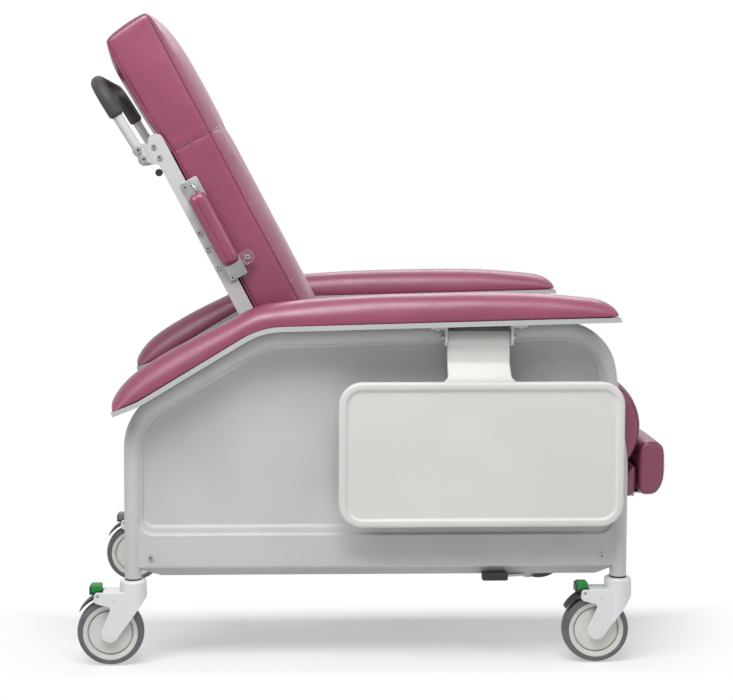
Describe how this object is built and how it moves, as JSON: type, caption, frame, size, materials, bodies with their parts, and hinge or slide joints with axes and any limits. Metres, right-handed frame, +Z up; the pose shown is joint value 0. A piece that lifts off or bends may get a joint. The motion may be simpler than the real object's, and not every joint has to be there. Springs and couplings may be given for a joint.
{
  "type": "medical recliner",
  "caption": "Clinical recliner on braked casters: padded seat, back linked to a leg rest, fold-out foot pad, padded arms, moulded side panels, flip-up side tray and push handle.",
  "frame": {"origin": "on the floor, in the middle of the overall length and width", "axes": "+X to the front, +Y to the sitter's left, +Z up"},
  "size_m": [1.133, 0.76, 1.241],
  "materials": {
    "frame_paint": "satin powder coat",
    "panel_plastic": "fine moulded texture",
    "arm_plastic": "satin moulded",
    "vinyl": "upholstery vinyl, fine grain",
    "tray_plastic": "satin moulded",
    "caster_metal": "silver paint",
    "hub_plastic": "satin",
    "tyre": "non-marking grey",
    "black_plastic": "fine texture",
    "grip_foam": "foam",
    "rubber": "matt",
    "steel": "zinc plated",
    "plywood": "raw"
  },
  "bodies": {
    "frame": {"side_frame_right": "frame_paint", "side_frame_left": "frame_paint", "lower_rail_right": "frame_paint", "lower_rail_left": "frame_paint", "side_panel_right": "panel_plastic", "side_panel_left": "panel_plastic", "arm_plate_right": "arm_plastic", "arm_plate_left": "arm_plastic", "arm_pad_right": "vinyl", "arm_pad_left": "vinyl", "seat_support_right": "frame_paint", "seat_support_left": "frame_paint", "base_crossbars": "frame_paint", "seat_crossbars": "frame_paint", "seat_board": "plywood", "seat_cushion": "vinyl", "pivot_bolts": "steel", "tray_brackets": "frame_paint", "tray_hinge_pin": "steel", "frame_screws": "steel", "caster_stems": "rubber"},
    "back": {"back_upright_right": "frame_paint", "back_upright_left": "frame_paint", "bolster_plate_right": "steel", "bolster_plate_left": "steel", "bolster_pad_right": "vinyl", "bolster_pad_left": "vinyl", "back_board": "vinyl", "back_cushion": "vinyl", "head_cushion": "vinyl", "push_handle": "frame_paint", "handle_grip": "grip_foam", "handle_stops": "rubber", "back_screws": "steel"},
    "leg_rest": {"calf_frame": "frame_paint", "calf_pad": "vinyl", "foot_hinge": "steel"},
    "foot_rest": {"foot_bracket": "steel", "foot_pad": "vinyl"},
    "recline_link": {"recline_links": "steel"},
    "side_tray": {"tray": "tray_plastic"},
    "lever": {"release_lever": "steel", "lever_grip": "black_plastic"},
    "caster_rear_right": {"caster_rear_right_fork": "caster_metal"},
    "caster_rear_right_wheel": {"caster_rear_right_hub": "hub_plastic", "caster_rear_right_tyre": "tyre"},
    "caster_rear_right_brake": {"caster_rear_right_pedal": "black_plastic"},
    "caster_rear_left": {"caster_rear_left_fork": "caster_metal"},
    "caster_rear_left_wheel": {"caster_rear_left_hub": "hub_plastic", "caster_rear_left_tyre": "tyre"},
    "caster_rear_left_brake": {"caster_rear_left_pedal": "black_plastic"},
    "caster_front_right": {"caster_front_right_fork": "caster_metal"},
    "caster_front_right_wheel": {"caster_front_right_hub": "hub_plastic", "caster_front_right_tyre": "tyre"},
    "caster_front_right_brake": {"caster_front_right_pedal": "black_plastic"},
    "caster_front_left": {"caster_front_left_fork": "caster_metal"},
    "caster_front_left_wheel": {"caster_front_left_hub": "hub_plastic", "caster_front_left_tyre": "tyre"},
    "caster_front_left_brake": {"caster_front_left_pedal": "black_plastic"}
  },
  "joints": [
    {"name": "back_recline", "type": "hinge", "parent": "frame", "child": "back", "pos_m": [-0.1388, 0, 0.4643], "axis": [0, -1, 0], "range_deg": [0, 40]},
    {"name": "leg_rest_lift", "type": "hinge", "parent": "frame", "child": "leg_rest", "pos_m": [0.413, 0, 0.436], "axis": [0, -1, 0], "range_deg": [0, 80]},
    {"name": "foot_pad_fold", "type": "hinge", "parent": "leg_rest", "child": "foot_rest", "pos_m": [0.5162, 0, 0.297], "axis": [0, 1, 0], "range_deg": [0, 180]},
    {"name": "link_slide", "type": "slide", "parent": "frame", "child": "recline_link", "axis": [1, 0, 0], "range_m": [0, 0.0386]},
    {"name": "tray_flip", "type": "hinge", "parent": "frame", "child": "side_tray", "pos_m": [0.1885, -0.352, 0.62542], "axis": [-1, 0, 0], "range_deg": [0, 90]},
    {"name": "release_swing", "type": "hinge", "parent": "frame", "child": "lever", "pos_m": [0.292, -0.30135, 0.1665], "axis": [0, 0, 1], "range_deg": [0, 30], "stiffness_Nm_per_rad": 0.5},
    {"name": "caster_rear_right_swivel", "type": "hinge", "parent": "frame", "child": "caster_rear_right", "pos_m": [-0.46, -0.318, 0.15], "axis": [0, 0, 1], "continuous": true},
    {"name": "caster_rear_right_roll", "type": "hinge", "parent": "caster_rear_right", "child": "caster_rear_right_wheel", "pos_m": [-0.503, -0.318, 0.0635], "axis": [0, 1, 0], "continuous": true},
    {"name": "caster_rear_right_press", "type": "hinge", "parent": "caster_rear_right", "child": "caster_rear_right_brake", "pos_m": [-0.526, -0.318, 0.13594], "axis": [0, -1, 0], "range_deg": [0, 5]},
    {"name": "caster_rear_left_swivel", "type": "hinge", "parent": "frame", "child": "caster_rear_left", "pos_m": [-0.46, 0.318, 0.15], "axis": [0, 0, 1], "continuous": true},
    {"name": "caster_rear_left_roll", "type": "hinge", "parent": "caster_rear_left", "child": "caster_rear_left_wheel", "pos_m": [-0.503, 0.318, 0.0635], "axis": [0, 1, 0], "continuous": true},
    {"name": "caster_rear_left_press", "type": "hinge", "parent": "caster_rear_left", "child": "caster_rear_left_brake", "pos_m": [-0.526, 0.318, 0.13594], "axis": [0, -1, 0], "range_deg": [0, 5]},
    {"name": "caster_front_right_swivel", "type": "hinge", "parent": "frame", "child": "caster_front_right", "pos_m": [0.463, -0.318, 0.15], "axis": [0, 0, 1], "continuous": true},
    {"name": "caster_front_right_roll", "type": "hinge", "parent": "caster_front_right", "child": "caster_front_right_wheel", "pos_m": [0.42, -0.318, 0.0635], "axis": [0, 1, 0], "continuous": true},
    {"name": "caster_front_right_press", "type": "hinge", "parent": "caster_front_right", "child": "caster_front_right_brake", "pos_m": [0.397, -0.318, 0.13594], "axis": [0, -1, 0], "range_deg": [0, 5]},
    {"name": "caster_front_left_swivel", "type": "hinge", "parent": "frame", "child": "caster_front_left", "pos_m": [0.463, 0.318, 0.15], "axis": [0, 0, 1], "continuous": true},
    {"name": "caster_front_left_roll", "type": "hinge", "parent": "caster_front_left", "child": "caster_front_left_wheel", "pos_m": [0.42, 0.318, 0.0635], "axis": [0, 1, 0], "continuous": true},
    {"name": "caster_front_left_press", "type": "hinge", "parent": "caster_front_left", "child": "caster_front_left_brake", "pos_m": [0.397, 0.318, 0.13594], "axis": [0, -1, 0], "range_deg": [0, 5]}
  ],
  "couplings": [
    {"joint": "leg_rest_lift", "follows": "back_recline", "ratio": 2},
    {"joint": "link_slide", "follows": "back_recline", "m_per_rad": 0.05526}
  ]
}
